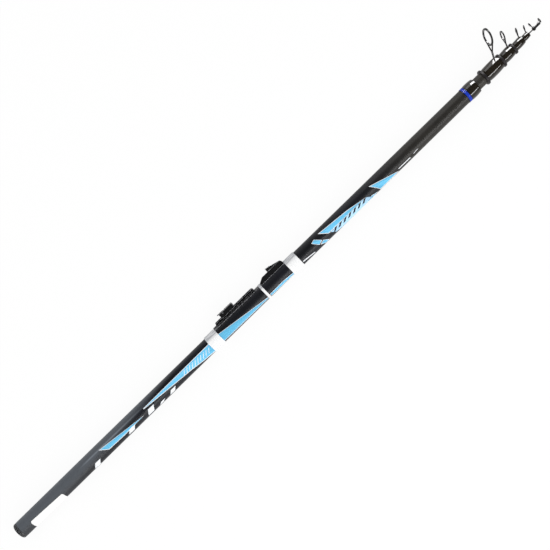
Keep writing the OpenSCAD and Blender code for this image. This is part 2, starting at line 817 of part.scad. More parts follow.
// The lacquered wrap of a section, with a pocket for the foot of its guide
module wrap(n) {
    x0 = n == 5 ? mouth_x(4) + seat_gap : stop_x(n) + stop_len + flat_gap;
    x1 = mouth_x(n);
    t = sheet_ts[n - 2] + 2 * lacquer_gap;
    w = leg_ws[n - 2] + 2 * lacquer_gap;
    color([0.13, 0.12, 0.1])
        difference() {
            barrel(x0, x1, wrap_rises[n - 2], tube_r(n, x0), tube_r(n, x1), wrap_edge, wrap_edge);
            guide_foot(n, lacquer_gap);
            guide_plane(n)
                translate([-w / 2, -2 * bury, -t / 2])
                    cube([w, leg_len(n), t]);
        }
}

module tip_section() {
    color([0.15, 0.15, 0.15])
        sleeve(base_x, tip_end, 0, 0, tip_r(base_x), tip_r(tip_end));
}

// The tip-top stands on the end of the tip
top_end_t = 2;
top_cap_x = tip_end + top_end_t;
top_x = top_cap_x - top_tube_len;
top_r = tip_r(top_x) + glue_gap + top_tube_wall;
top_hoop_in = top_bore / 2 + top_insert_t + glue_gap;
top_hoop_out = top_hoop_in + top_hoop_t;
top_centre = [top_cap_x + top_reach, top_high, 0];

module tip_top_tube() {
    edge = 0.4;
    color([0.1, 0.1, 0.1])
        spin_x([[top_x, tip_r(top_x) + glue_gap], [top_x, top_r - edge], [top_x + edge, top_r],
            [top_cap_x - edge, top_r], [top_cap_x, top_r - edge], [top_cap_x, 0],
            [tip_end + glue_gap, 0], [tip_end + glue_gap, tip_r(tip_end) + glue_gap]]);
}

module top_plane() {
    rotate([turn_5, 0, 0])
        translate(top_centre)
            rotate([0, 0, -top_lean])
                rotate([0, -90, 0])
                    children();
}

// A point in the middle of the hoop, at an angle up from its side
function on_hoop(hand, angle) = top_centre + (top_hoop_out - top_hoop_t / 2)
    * [sin(angle) * sin(top_lean), sin(angle) * cos(top_lean), hand * cos(angle)];

// One support wire: along the side of the tube, then up to the hoop, with a stay to its top
module top_support(hand) {
    side = hand * (top_r + glue_gap + wire_d / 2);
    bend = [top_cap_x - top_end_t, 0, side];
    stay_angle = 55;
    wire([top_x + 2 * wire_d, 0, side], bend, wire_d);
    translate(bend)
        sphere(d = wire_d);
    wire(bend, on_hoop(hand, 0), wire_d);
    wire([top_x + stay_back, 0, side], on_hoop(hand, stay_angle), stay_d);
}

// A leaning hoop held off the tube by two bent wires
module tip_top_frame() {
    color([0.1, 0.1, 0.1])
        difference() {
            union() {
                top_plane()
                    translate([0, 0, -top_sheet / 2])
                        difference() {
                            cylinder(h = top_sheet, r = top_hoop_out);
                            translate([0, 0, -over])
                                cylinder(h = top_sheet + 2 * over, r = top_hoop_in);
                        }
                rotate([turn_5, 0, 0])
                    for (hand = [-1, 1])
                        top_support(hand);
            }
            spin_x([[top_x - over, 0], [top_x - over, top_r + glue_gap],
                [top_cap_x + glue_gap, top_r + glue_gap], [top_cap_x + glue_gap, 0]]);
            top_plane()
                cylinder(h = 2 * top_hoop_out, r = top_hoop_in, center = true);
        }
}

module tip_top_ring() {
    color([0.3, 0.3, 0.3])
        top_plane()
            rotate_extrude($fn = 64)
                polygon(ring_points(top_bore, top_insert_t, top_sheet));
}

// The floating guide slides on the tip until its tube jams
float_x1 = top_x - seat_gap;
float_x0 = float_x1 - float_len;
float_in = tip_r(float_x1 - float_travel) + slide_fit;
float_out = float_in + float_wall;
float_edge = 0.8;
float_hoop_in = float_bore / 2 + float_insert_t + glue_gap;
float_hoop_out = float_hoop_in + float_hoop_t;

module float_plane() {
    rotate([turn_5, 0, 0])
        translate([(float_x0 + float_x1) / 2, float_high, 0])
            rotate([0, -90, 0])
                children();
}

module float_guide() {
    color([0.1, 0.1, 0.1])
        difference() {
            union() {
                spin_x([[float_x0, 0], [float_x0, float_out - float_edge], [float_x0 + float_edge, float_out],
                    [float_x1 - float_edge, float_out], [float_x1, float_out - float_edge], [float_x1, 0]]);
                float_plane()
                    translate([0, 0, -float_sheet / 2])
                        linear_extrude(float_sheet)
                            union() {
                                circle(r = float_hoop_out);
                                translate([-float_leg_w / 2, -float_high])
                                    square([float_leg_w, float_high - float_hoop_in]);
                            }
            }
            sleeve(float_x0 - over, float_x1 + over, 0, 0, float_in, float_in);
            float_plane()
                cylinder(h = 4 * float_sheet, r = float_hoop_in, center = true);
        }
}

module float_ring() {
    color([0.3, 0.3, 0.3])
        float_plane()
            rotate_extrude($fn = 64)
                polygon(ring_points(float_bore, float_insert_t, float_sheet));
}

butt_section();
butt_collar();
butt_band();
butt_insert();
butt_cap();
cap_seal();
cap_cushion();
seat_plate();
back_binding();
waist_binding();
front_binding();
fixed_hood();
sliding_hood();
lock_lever();
lever_pin();
section(2);  // section_2
stop_ring(2);  // stop_ring_2
wrap(2);  // wrap_2
guide(2);  // guide_2
guide_ring(2);  // guide_ring_2
section(3);  // section_3
stop_ring(3);  // stop_ring_3
wrap(3);  // wrap_3
guide(3);  // guide_3
guide_ring(3);  // guide_ring_3
section(4);  // section_4
stop_ring(4);  // stop_ring_4
wrap(4);  // wrap_4
guide(4);  // guide_4
guide_ring(4);  // guide_ring_4
section(5);  // section_5
wrap(5);  // wrap_5
guide(5);  // guide_5
guide_ring(5);  // guide_ring_5
tip_section();
float_guide();
float_ring();
tip_top_tube();
tip_top_frame();
tip_top_ring();
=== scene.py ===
# %% [markdown]
# # A telescopic fishing rod, closed
#
# This lesson dresses a finished set of solids: a rod of five tapered tubes and a tip, nested in
# one another, with line guides, stop rings and a clip reel seat. The solids fix every size and
# every joint. What is left to do is what the eye sees: paint, lacquer, wound thread, moulded
# plastic, bent wire and the light that shows them.

# %% Load the frame
import json
import math

import bmesh
import bpy
import numpy as np
from mathutils import Matrix, Vector


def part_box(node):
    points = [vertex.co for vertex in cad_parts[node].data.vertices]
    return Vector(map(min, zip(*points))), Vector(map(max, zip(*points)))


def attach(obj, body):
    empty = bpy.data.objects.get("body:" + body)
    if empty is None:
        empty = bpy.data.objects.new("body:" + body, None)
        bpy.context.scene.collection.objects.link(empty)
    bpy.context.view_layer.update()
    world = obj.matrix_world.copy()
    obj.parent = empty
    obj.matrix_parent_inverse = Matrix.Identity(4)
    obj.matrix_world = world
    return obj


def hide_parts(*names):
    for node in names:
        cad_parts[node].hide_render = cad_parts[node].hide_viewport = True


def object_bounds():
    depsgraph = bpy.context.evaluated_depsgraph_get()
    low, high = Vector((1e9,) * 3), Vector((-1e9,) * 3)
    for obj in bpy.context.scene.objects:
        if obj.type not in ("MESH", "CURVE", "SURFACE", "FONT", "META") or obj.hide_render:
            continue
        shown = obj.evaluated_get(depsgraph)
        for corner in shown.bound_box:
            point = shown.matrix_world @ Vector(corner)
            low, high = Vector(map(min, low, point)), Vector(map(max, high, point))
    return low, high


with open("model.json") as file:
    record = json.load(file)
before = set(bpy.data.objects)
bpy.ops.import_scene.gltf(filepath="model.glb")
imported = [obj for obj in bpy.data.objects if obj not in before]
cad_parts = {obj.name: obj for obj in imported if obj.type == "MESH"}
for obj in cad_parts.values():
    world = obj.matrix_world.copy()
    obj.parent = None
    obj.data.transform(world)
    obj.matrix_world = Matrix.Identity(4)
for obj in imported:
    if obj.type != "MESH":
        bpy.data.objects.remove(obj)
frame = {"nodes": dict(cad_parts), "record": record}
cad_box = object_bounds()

MM = 0.001
nodes = frame["nodes"]
print("solids loaded:", len(nodes), "box:", [[round(v, 4) for v in corner] for corner in cad_box])

# %% [markdown]
# ## Where things are
#
# The rod lies along X with its butt at the origin. Nothing here is typed in twice: a place is
# measured on the solids. Most pieces of a rod are turned about one axis, so the most useful
# measure is a profile, the largest radius at each station along X. Only faces that look away
# from the axis are asked, because a tube also has a bore.

# %% Measure a turned solid
def reach_of(point):
    return math.hypot(point[1], point[2])


def outer_profile(node, away_from=None):
    """Stations of [x, radius] along a solid, on the side away from a direction if one is given."""
    mesh = nodes[node].data
    found = {}
    for face in mesh.polygons:
        middle = face.center
        outward = face.normal.y * middle.y + face.normal.z * middle.z
        if outward < 0.3 * reach_of(middle):
            continue
        if away_from is not None and middle.dot(away_from) > 0:
            continue
        for index in face.vertices:
            corner = mesh.vertices[index].co
            station = round(corner.x, 5)
            found[station] = max(found.get(station, 0), reach_of(corner))
    return np.array(sorted(found.items()))


def radius_at(profile, x):
    return float(np.interp(x, profile[:, 0], profile[:, 1]))


butt_line = outer_profile("butt_section")
print("butt radius at the grip and the mouth, mm:",
      round(butt_line[0, 1] / MM, 2), round(butt_line[-1, 1] / MM, 2))

# %% [markdown]
# ## The camera
#
# The rod was photographed lying on white, from straight above, on the diagonal of a square
# picture. One scale, one angle and the place of the butt end are all that is needed to stand
# the camera: its right and up directions are the rod's own axes turned by that angle.

# %% Stand the camera over the rod
PICTURE_SIDE = 550
MM_PER_PIXEL = 1.5
ROD_ANGLE = math.radians(44.34)
BUTT_PIXEL = (19.12, 531.66)
CAMERA_HEIGHT = 1.6

image_right = Vector((math.cos(ROD_ANGLE), -math.sin(ROD_ANGLE), 0))
image_up = Vector((math.sin(ROD_ANGLE), math.cos(ROD_ANGLE), 0))
half_side = PICTURE_SIDE / 2
pixel = MM_PER_PIXEL * MM
centre = (image_right * (half_side - BUTT_PIXEL[0])
          + image_up * (BUTT_PIXEL[1] - half_side)) * pixel

camera = bpy.data.objects.new("camera", bpy.data.cameras.new("camera"))
camera.data.sensor_width = 36
camera.data.lens = camera.data.sensor_width * CAMERA_HEIGHT / (PICTURE_SIDE * pixel)
turn = Matrix((image_right, image_up, (0, 0, 1))).transposed()
camera.matrix_world = Matrix.Translation(centre + Vector((0, 0, CAMERA_HEIGHT))) @ turn.to_4x4()
bpy.context.scene.collection.objects.link(camera)
bpy.context.scene.camera = camera
bpy.context.scene.view_settings.view_transform = "Standard"
print("camera over", [round(v, 3) for v in centre], "lens", round(camera.data.lens, 1), "mm")

# %% [markdown]
# ## The studio
#
# A dark rod shows its shape by what it mirrors, so the room matters as much as the
# lamps. The walls are white low down and grey overhead, which leaves the ridge of each tube
# dark and its edges pale. The floor is white to the eye and to mirrors, and still takes a
# little shadow because a share of it is plain matt white.

# %% White floor and walls
WALL_LIGHT = 0.98
OVERHEAD = 0.06
FLOOR_GLOW = 0.92
FLOOR_SIDE = 40


def seen_rays(tree):
    """One where a ray comes from the eye, from a mirror or through glass, else zero."""
    path = tree.nodes.new("ShaderNodeLightPath")
    total = path.outputs["Is Camera Ray"]
    for name in ("Is Glossy Ray", "Is Transmission Ray"):
        either = tree.nodes.new("ShaderNodeMath")
        either.operation = "MAXIMUM"
        tree.links.new(total, either.inputs[0])
        tree.links.new(path.outputs[name], either.inputs[1])
        total = either.outputs[0]
    return total


def white_floor():
    material = bpy.data.materials.new("studio_floor")
    material.use_nodes = True
    tree = material.node_tree
    tree.nodes.clear()
    matt = tree.nodes.new("ShaderNodeBsdfDiffuse")
    matt.inputs["Color"].default_value = (0.92, 0.92, 0.92, 1)
    glow = tree.nodes.new("ShaderNodeEmission")
    share = tree.nodes.new("ShaderNodeMath")
    share.operation = "MULTIPLY"
    share.inputs[1].default_value = FLOOR_GLOW
    mix = tree.nodes.new("ShaderNodeMixShader")
    out = tree.nodes.new("ShaderNodeOutputMaterial")
    tree.links.new(seen_rays(tree), share.inputs[0])
    tree.links.new(share.outputs[0], mix.inputs[0])
    tree.links.new(matt.outputs[0], mix.inputs[1])
    tree.links.new(glow.outputs[0], mix.inputs[2])
    tree.links.new(mix.outputs[0], out.inputs[0])
    return material


side = FLOOR_SIDE / 2
floor_mesh = bpy.data.meshes.new("floor")
floor_z = cad_box[0].z - 0.2 * MM
floor_corners = ((-side, -side), (side, -side), (side, side), (-side, side))
floor_mesh.from_pydata([(x, y, floor_z) for x, y in floor_corners], [], [(0, 1, 2, 3)])
floor_mesh.materials.append(white_floor())
floor = bpy.data.objects.new("floor", floor_mesh)
bpy.context.scene.collection.objects.link(floor)

world = bpy.data.worlds.new("studio")
bpy.context.scene.world = world
world.use_nodes = True
sky = world.node_tree
place = sky.nodes.new("ShaderNodeTexCoord")
split = sky.nodes.new("ShaderNodeSeparateXYZ")
fade = sky.nodes.new("ShaderNodeMapRange")
fade.interpolation_type = "SMOOTHSTEP"
for name, value in (("From Min", 0), ("From Max", 0.35), ("To Min", 1), ("To Max", OVERHEAD)):
    fade.inputs[name].default_value = value
level = sky.nodes.new("ShaderNodeMix")
level.inputs[2].default_value = WALL_LIGHT
sky.links.new(place.outputs["Generated"], split.inputs[0])
sky.links.new(split.outputs["Z"], fade.inputs["Value"])
sky.links.new(seen_rays(sky), level.inputs[0])
sky.links.new(fade.outputs[0], level.inputs[3])
sky.links.new(level.outputs[0], sky.nodes["Background"].inputs["Strength"])
sky.nodes["Background"].inputs["Color"].default_value = (1, 1, 1, 1)
print("floor at", round(floor_z / MM, 2), "mm")

# %% [markdown]
# Four lamps finish the room. A wide sheet hangs beside the rod and gives the satin paint its soft
# sheen. A strip next to it draws one fine line along everything glossy. A dim card on the guide
# side lifts the edge of the grey paint and of the wraps. A window stands low beyond the tip: a
# straight tube cannot mirror it, because no face of a tube leans towards the tip, but the
# rounded front of each lacquered wrap can. All but the sheet are there for their reflections,
# so they light no matt surface. The window is bright, and from a low place across the rod it
# would dazzle on the seat and the prints, so it shines on lacquer, rings and wire only: those
# are gathered in a collection as they are made.

# %% A sheet, a strip, a card and a window
def soft_box(name, place, width, length, power, lights_matt=False):
    """An area lamp that looks at the middle of the rod."""
    lamp = bpy.data.lights.new(name, "AREA")
    lamp.shape = "RECTANGLE"
    lamp.size = length
    lamp.size_y = width
    lamp.energy = power
    box = bpy.data.objects.new(name, lamp)
    target = Vector((centre.x, 0, 0))
    box.location = target + Vector(place)
    away = (box.location - target).normalized()
    across = away.cross(Vector((1, 0, 0))).normalized()
    turn = Matrix((across.cross(away), across, away)).transposed()
    box.matrix_world = Matrix.Translation(box.location) @ turn.to_4x4()
    box.visible_camera = False
    box.visible_diffuse = lights_matt
    bpy.context.scene.collection.objects.link(box)
    print(name, "at", [round(v, 2) for v in box.location], power, "W")
    return box


soft_box("sheet", (0, -1.05, 0.75), width=0.8, length=1.9, power=5, lights_matt=True)
soft_box("strip", (0, -0.74, 0.67), width=0.085, length=1.9, power=10)
soft_box("card", (0.6, 1, 0.5), width=0.6, length=0.7, power=3.2)
window = soft_box("window", (1.7, 1.6, 0.8), width=1.1, length=1.25, power=105)
in_window = bpy.data.collections.new("in_window")
window.light_linking.receiver_collection = in_window

# %% [markdown]
# ## Finishes
#
# A finish is more than a colour. Paint has orange peel, thread has turns, moulded plastic has
# grain and pale worn edges. Each of these is a texture in the piece's own coordinates, so it
# stays put when the piece moves. The little class below only saves typing: it holds one
# shader and the textures that feed it, and each method adds one layer.

# %% A helper that builds a finish in layers
def linear(code):
    """A colour written as on a screen, turned into the light values that shaders use."""
    levels = [int(code[i:i + 2], 16) / 255 for i in (1, 3, 5)]
    return [v / 12.92 if v <= 0.04045 else ((v + 0.055) / 1.055) ** 2.4 for v in levels] + [1]


class Finish:
    """One shader with the textures that feed it."""

    def __init__(self, name, **sockets):
        self.material = bpy.data.materials.new(name)
        self.material.use_nodes = True
        self.tree = self.material.node_tree
        self.shader = self.tree.nodes["Principled BSDF"]
        for socket, value in sockets.items():
            self.shader.inputs[socket.replace("_", " ")].default_value = value
        self.place = self.add("TexCoord").outputs["Object"]
        x_y_z = self.add("SeparateXYZ", self.place)
        self.x, self.y, self.z = x_y_z.outputs

    def add(self, kind, *sources, **settings):
        """A node whose first inputs are joined to sources or set to plain numbers."""
        node = self.tree.nodes.new("ShaderNode" + kind)
        for key, value in settings.items():
            setattr(node, key, value)
        for socket, source in zip(node.inputs, sources):
            if isinstance(source, (int, float)):
                socket.default_value = source
            else:
                self.tree.links.new(source, socket)
        return node

    def sum(self, operation, *sources):
        return self.add("Math", *sources, operation=operation).outputs[0]

    def spread(self, source, low, high, to_low=0, to_high=1):
        """A value eased from one span to another."""
        node = self.add("MapRange", source, low, high, to_low, to_high,
                        interpolation_type="SMOOTHSTEP")
        return node.outputs[0]

    def noise(self, size_mm, detail=2, stretch=(1, 1, 1)):
        """Mottling with patches of about a given size."""
        mapped = self.add("Mapping", self.place)
        mapped.inputs["Scale"].default_value = stretch
        cloud = self.add("TexNoise", mapped.outputs[0])
        cloud.inputs["Scale"].default_value = 1 / (size_mm * MM)
        cloud.inputs["Detail"].default_value = detail
        return cloud.outputs["Fac"]

    def winding(self, pitch_mm):
        """A ridge that climbs round the rod: zero in the groove, one on the turn."""
        angle = self.sum("ARCTAN2", self.z, self.y)
        climb = self.sum("MULTIPLY", self.x, 1 / (pitch_mm * MM))
        turns = self.sum("MULTIPLY_ADD", angle, 1 / (2 * math.pi), climb)
        return self.sum("MULTIPLY", self.sum("PINGPONG", turns, 0.5), 2)

    def edges(self, width_mm):
        """One on sharp edges, zero on open faces."""
        bevel = self.add("Bevel", samples=4)
        bevel.inputs["Radius"].default_value = width_mm * MM
        flat = self.add("NewGeometry").outputs["Normal"]
        alike = self.add("VectorMath", bevel.outputs[0], flat, operation="DOT_PRODUCT")
        return self.spread(alike.outputs["Value"], 0.97, 0.8)

    def ramp(self, source, *stops):
        """Colours along a value, each stop a place and a colour."""
        node = self.add("ValToRGB", source)
        points = node.color_ramp.elements
        while len(points) < len(stops):
            points.new(1)
        for point, (place, code) in zip(points, stops):
            point.position = place
            point.color = linear(code)
        return node.outputs["Color"]

    def mixed(self, share, first, second):
        node = self.add("Mix", share, data_type="RGBA")
        for socket, source in ((node.inputs[6], first), (node.inputs[7], second)):
            if isinstance(source, str):
                socket.default_value = linear(source)
            else:
                self.tree.links.new(source, socket)
        return node.outputs[2]

    def coloured(self, source):
        self.tree.links.new(source, self.shader.inputs["Base Color"])
        return self

    def tinted(self, share, code):
        """A second colour over the first, where the share is high."""
        under = self.shader.inputs["Base Color"].links[0].from_socket
        return self.coloured(self.mixed(share, under, code))

    def rough(self, source, low, high):
        level = self.spread(source, 0.2, 0.8, low, high)
        self.tree.links.new(level, self.shader.inputs["Roughness"])
        return self

    def relief(self, height, depth_mm, strength=1):
        """Bump of a given depth, laid over the bump that is already there."""
        bump = self.add("Bump")
        bump.inputs["Strength"].default_value = strength
        bump.inputs["Distance"].default_value = depth_mm * MM
        self.tree.links.new(height, bump.inputs["Height"])
        normal = self.shader.inputs["Normal"]
        if normal.links:
            self.tree.links.new(normal.links[0].from_socket, bump.inputs["Normal"])
        self.tree.links.new(bump.outputs[0], normal)
        return self


layers = [name for name in vars(Finish) if not name.startswith("_")]
print("layers a finish can have:", ", ".join(layers))

# %% [markdown]
# The butt is sprayed in one go, from the slate grip through satin black to warm grey. The edge
# of the slate runs on a slant, further along the rod on the guide side, so the place where it
# fades is worked out from X and Y together. Slate is rough to the hand and black is smoother,
# so the roughness follows the same fade. The slate also carries painted shade, darker on the
# side away from the guides, and a painted highlight: a pale streak that runs on into the black.

# %% Paint of the butt
SLATE_END = 0.205
SLATE_SLANT = 9
SLATE_FADE = 0.065
PAINTED_SHADE_Y = (2 * MM, -9 * MM)
HIGHLIGHT_Y = 4.2 * MM
HIGHLIGHT_HALF = 2 * MM
HIGHLIGHT_STARTS = (0.13, 0.155)
HIGHLIGHT_ENDS = (0.29, 0.2)
GREY_START = 0.7
GREY_END = 0.84


def butt_paint():
    paint = Finish("butt_paint", Specular_IOR_Level=0.34)
    slanted = paint.sum("MULTIPLY_ADD", paint.y, -SLATE_SLANT, paint.x)
    past_grip = paint.spread(slanted, SLATE_END - SLATE_FADE, SLATE_END + SLATE_FADE)
    past_black = paint.spread(paint.x, GREY_START, GREY_END)
    slate = paint.ramp(paint.noise(0.5, 3), (0.3, "#494e54"), (0.7, "#595e65"))
    # Painted shade: the slate darkens towards the side away from the guides.
    slate = paint.mixed(paint.spread(paint.y, *PAINTED_SHADE_Y, 0, 0.8), slate, "#25262a")
    black = paint.ramp(paint.noise(30, 2), (0.3, "#0b0d15"), (0.7, "#10131f"))
    grey = paint.ramp(paint.noise(14, 3), (0.3, "#23201b"), (0.7, "#2b2823"))
    colour = paint.mixed(past_black, paint.mixed(past_grip, slate, black), grey)
    # Painted highlight: a pale streak along the guide side, from the slate on into the black.
    from_highlight = paint.sum("ABSOLUTE", paint.sum("SUBTRACT", paint.y, HIGHLIGHT_Y))
    comes, goes = paint.spread(paint.x, *HIGHLIGHT_STARTS), paint.spread(paint.x, *HIGHLIGHT_ENDS)
    across = paint.spread(from_highlight, HIGHLIGHT_HALF, 0, 0, 0.7)
    painted_highlight = paint.sum("MULTIPLY", across, paint.sum("MULTIPLY", comes, goes))
    colour = paint.mixed(painted_highlight, colour, "#7b828b")
    gloss = paint.spread(past_grip, 0, 1, 0.56, 0.46)
    finest = paint.sum("SUBTRACT", gloss, 0.04)
    specks = paint.sum("MULTIPLY_ADD", paint.noise(0.4, 2), 0.08, finest)
    paint.tree.links.new(specks, paint.shader.inputs["Roughness"])
    grit = paint.sum("MULTIPLY", paint.noise(0.35, 2), paint.sum("SUBTRACT", 1, past_grip))
    return paint.coloured(colour).relief(paint.noise(2.5, 2), 0.003).relief(grit, 0.03)


# %% [markdown]
# The inner tubes are rolled from cloth and resin under a spiral of tape. The tape leaves a
# faint screw line on the cured tube, which is the mark of a rolled blank. Wraps are fine
# thread under thick clear lacquer: the thread gives the colour, and a clear coat over the
# shader gives the wet shine. The blue band ends in a few turns of dark thread, a trim that is
# mixed in by the distance from the middle of the band.

# %% Blank, lacquered thread and bindings
def rolled_blank():
    blank = Finish("rolled_blank", Specular_IOR_Level=0.36)
    tape = blank.winding(2.4)
    tone = blank.sum("MULTIPLY_ADD", blank.noise(5, 3), 0.6, blank.sum("MULTIPLY", tape, 0.4))
    blank.coloured(blank.ramp(tone, (0.25, "#26231d"), (0.75, "#3a362f")))
    return blank.rough(blank.noise(1.2), 0.42, 0.54).relief(tape, 0.02)


def lacquered_thread(name, groove, turn, pitch_mm, wet=1, trim=None):
    thread = Finish(name, Coat_Weight=wet, Coat_Roughness=0.03, Specular_IOR_Level=0)
    turns = thread.winding(pitch_mm)
    tone = thread.sum("MULTIPLY_ADD", turns, 0.7, thread.sum("MULTIPLY", thread.noise(1.5, 3), 0.3))
    colour = thread.ramp(tone, (0.2, groove), (0.8, turn))
    if trim:
        middle, reach = trim
        outside = thread.sum("ABSOLUTE", thread.sum("SUBTRACT", thread.x, middle))
        colour = thread.mixed(thread.spread(outside, reach, reach + 0.3 * MM), colour, "#15120e")
    thread.coloured(colour)
    thread.relief(thread.noise(7, 1), 0.05).relief(turns, 0.008)
    return thread.rough(thread.noise(3), 0.4, 0.55)


# %% [markdown]
# The bindings are white thread over the dark feet of the seat. The guide side of the thread is
# streaked with grey, which is painted shade.

# %% White thread over the feet of the seat
def white_binding():
    # White thread with painted shade in grey streaks on the guide side.
    thread = lacquered_thread("white_thread", "#e3e4e5", "#fbfbfb", 0.5, 0.12)
    shade_streaks = thread.spread(thread.noise(2.2, 2, stretch=(0.12, 1, 1)), 0.3, 0.6, 0.35, 0.9)
    # Painted shade: grey streaks on the guide side of the thread.
    shaded_side = thread.spread(thread.y, 2.5 * MM, 9 * MM)
    return thread.tinted(thread.sum("MULTIPLY", shade_streaks, shaded_side), "#9a9ca1")


# %% [markdown]
# The seat, the cap and the stop rings are moulded. Fine spark grain breaks up their shine, and
# their edges are painted paler: wear on the stop rings, and a painted highlight on the seat and
# on the notches of the cap's rim. A bevel lookup compares the true normal with a rounded one,
# and they only differ near an edge, so it finds the edges without any painting.

# %% Moulded plastic, rubber, metal and ceramic
def moulded(name, dark, pale, worn_and_lit_edge, grain_mm, shine, edge_mm=0.5, gloss=0.5):
    plastic = Finish(name, Specular_IOR_Level=gloss)
    body = plastic.ramp(plastic.noise(6, 3), (0.3, dark), (0.7, pale))
    patches = plastic.spread(plastic.noise(2.5, 3), 0.3, 0.6)
    wear_and_edge_highlight = plastic.sum("MULTIPLY", plastic.edges(edge_mm), patches)
    plastic.coloured(plastic.mixed(wear_and_edge_highlight, body, worn_and_lit_edge))
    grain = plastic.noise(grain_mm, 2)
    return plastic.rough(grain, shine - 0.06, shine + 0.08).relief(grain, 0.02)


def black_rubber():
    rubber = Finish("black_rubber", Sheen_Weight=0.1)
    rubber.coloured(rubber.ramp(rubber.noise(2, 4), (0.3, "#0f0f10"), (0.7, "#1c1c1d")))
    return rubber.rough(rubber.noise(0.6), 0.75, 0.9).relief(rubber.noise(0.3, 3), 0.03)


def turned_metal(name, dark, pale, shine):
    metal = Finish(name, Metallic=1)
    rings = metal.noise(0.4, 2, stretch=(1, 0.02, 0.02))
    metal.coloured(metal.ramp(rings, (0.3, dark), (0.7, pale)))
    return metal.rough(rings, shine, shine + 0.15).relief(rings, 0.006)


def coated_wire():
    wire = Finish("coated_wire", Coat_Weight=0.15, Coat_Roughness=0.06, Specular_IOR_Level=0.12)
    body = wire.ramp(wire.noise(0.8, 3), (0.3, "#09090a"), (0.7, "#111112"))
    wear_and_edge_highlight = wire.sum("MULTIPLY", wire.edges(0.25), wire.noise(0.7, 2))
    wire.coloured(wire.mixed(wear_and_edge_highlight, body, "#232325"))
    return wire.rough(wire.noise(0.5), 0.24, 0.4).relief(wire.noise(0.45, 2), 0.015)


def polished_ceramic():
    ceramic = Finish("polished_ceramic", Coat_Weight=0.3, Coat_Roughness=0.02)
    ceramic.coloured(ceramic.ramp(ceramic.noise(0.7, 3), (0.3, "#101113"), (0.7, "#1b1c1f")))
    return ceramic.rough(ceramic.noise(1), 0.06, 0.14).relief(ceramic.noise(2, 1), 0.004)


def printed_ink(name, low, high):
    ink = Finish(name, Specular_IOR_Level=0.3)
    ink.coloured(ink.ramp(ink.noise(0.8, 3), (0.3, low), (0.7, high)))
    return ink.rough(ink.noise(1.5), 0.4, 0.5).relief(ink.noise(2.5, 2), 0.006)


def label_paper():
    paper = Finish("label_paper")
    paper.coloured(paper.ramp(paper.noise(1.2, 4), (0.3, "#f1f1ee"), (0.7, "#fbfbfa")))
    return paper.rough(paper.noise(0.4), 0.45, 0.6).relief(paper.noise(0.25, 3), 0.01)


BLUE_HALF = 2.2 * MM

band_low, band_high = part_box("butt_band")
band_trim = ((band_low[0] + band_high[0]) / 2, BLUE_HALF)
finishes = {
    "butt_paint": butt_paint(),
    "blank": rolled_blank(),
    "lacquer": lacquered_thread("brown_black_thread", "#14110d", "#2a251d", 0.28),
    "blue_thread": lacquered_thread("blue_thread", "#142a8c", "#2c4acb", 0.3, 0.35, band_trim),
    "white_thread": white_binding(),
    # Painted highlight: the pale edges of the seat and of the cap's rim; on the stop rings they are
    # wear.
    "seat": moulded("seat_plastic", "#0d0d0f", "#151517", "#c4c5ca", 0.22, 0.26, 1.1),
    "cap": moulded("cap_plastic", "#17181b", "#212226", "#a3a5aa", 0.3, 0.45, 0.8),
    "stop_ring": moulded("stop_ring_plastic", "#1f1c1d", "#292526", "#474345", 0.35, 0.4, 0.4, 0.2),
    "rubber": black_rubber(),
    "alloy": turned_metal("turned_alloy", "#9fa2a8", "#c9ccd1", 0.22),
    "steel": turned_metal("pin_steel", "#8d9096", "#c3c6cb", 0.16),
    "wire": coated_wire(),
    "ceramic": polished_ceramic(),
    "blue_ink": printed_ink("blue_ink", "#5fbdea", "#74cdf4"),
    "pale_ink": printed_ink("pale_blue_ink", "#a9dcff", "#c4e8ff"),
    "white_ink": printed_ink("white_ink", "#eef3f7", "#fbfdff"),
    "black_ink": printed_ink("black_ink", "#0d0f16", "#14171f"),
    "label": label_paper(),
}
print("finishes:", ", ".join(finishes))

# %% [markdown]
# ## Solids that are right as they are
#
# A tube is a tube. The nested sections, the pin, the insert and the ring inserts already have
# their true shape, so they keep their solids and only take a finish.

# %% Finish the solids that stay
kept_finishes = {"butt_section": "butt_paint", "butt_insert": "alloy", "lever_pin": "steel",
                 "cap_seal": "rubber", "cap_cushion": "rubber", "tip_section": "blank",
                 "tip_top_tube": "wire", "tip_top_ring": "ceramic", "float_ring": "ceramic"}
for number in (2, 3, 4, 5):
    kept_finishes[f"section_{number}"] = "blank"
    kept_finishes[f"guide_ring_{number}"] = "ceramic"
window_finishes = ("lacquer", "blue_thread", "wire", "ceramic", "stop_ring")
for name, finish in kept_finishes.items():
    nodes[name].data.materials.clear()
    nodes[name].data.materials.append(finishes[finish].material)
    if finish in window_finishes:
        in_window.objects.link(nodes[name])
print("solids with a new finish:", len(kept_finishes))

# %% [markdown]
# ## Turned pieces
#
# The wraps and the collar are lacquer that flowed while the rod turned on a drying motor, so
# they have no corner anywhere. Their solids are made of short cones. A lathe mesh through the
# same stations, with a smooth curve between them, gives the same shape without the steps.

# %% Helpers for turned pieces
BED_GAP = 0.03 * MM


def keep(name, mesh, finish, body, slot, *stands_for):
    """Turn a finished mesh into a piece of the rod."""
    mesh.materials.clear()
    mesh.materials.append(finishes[finish].material)
    piece = bpy.data.objects.new(name, mesh)
    bpy.context.scene.collection.objects.link(piece)
    if finish in window_finishes:
        in_window.objects.link(piece)
    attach(piece, body)
    if stands_for:
        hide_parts(*stands_for)
    print(f"{name}: {len(mesh.polygons)} faces, on {body}")
    return piece


def shaded(mesh, sharp_angle=40):
    """Smooth shading that still breaks at real edges."""
    mesh.polygons.foreach_set("use_smooth", [True] * len(mesh.polygons))
    mesh.set_sharp_from_angle(angle=math.radians(sharp_angle))
    return mesh


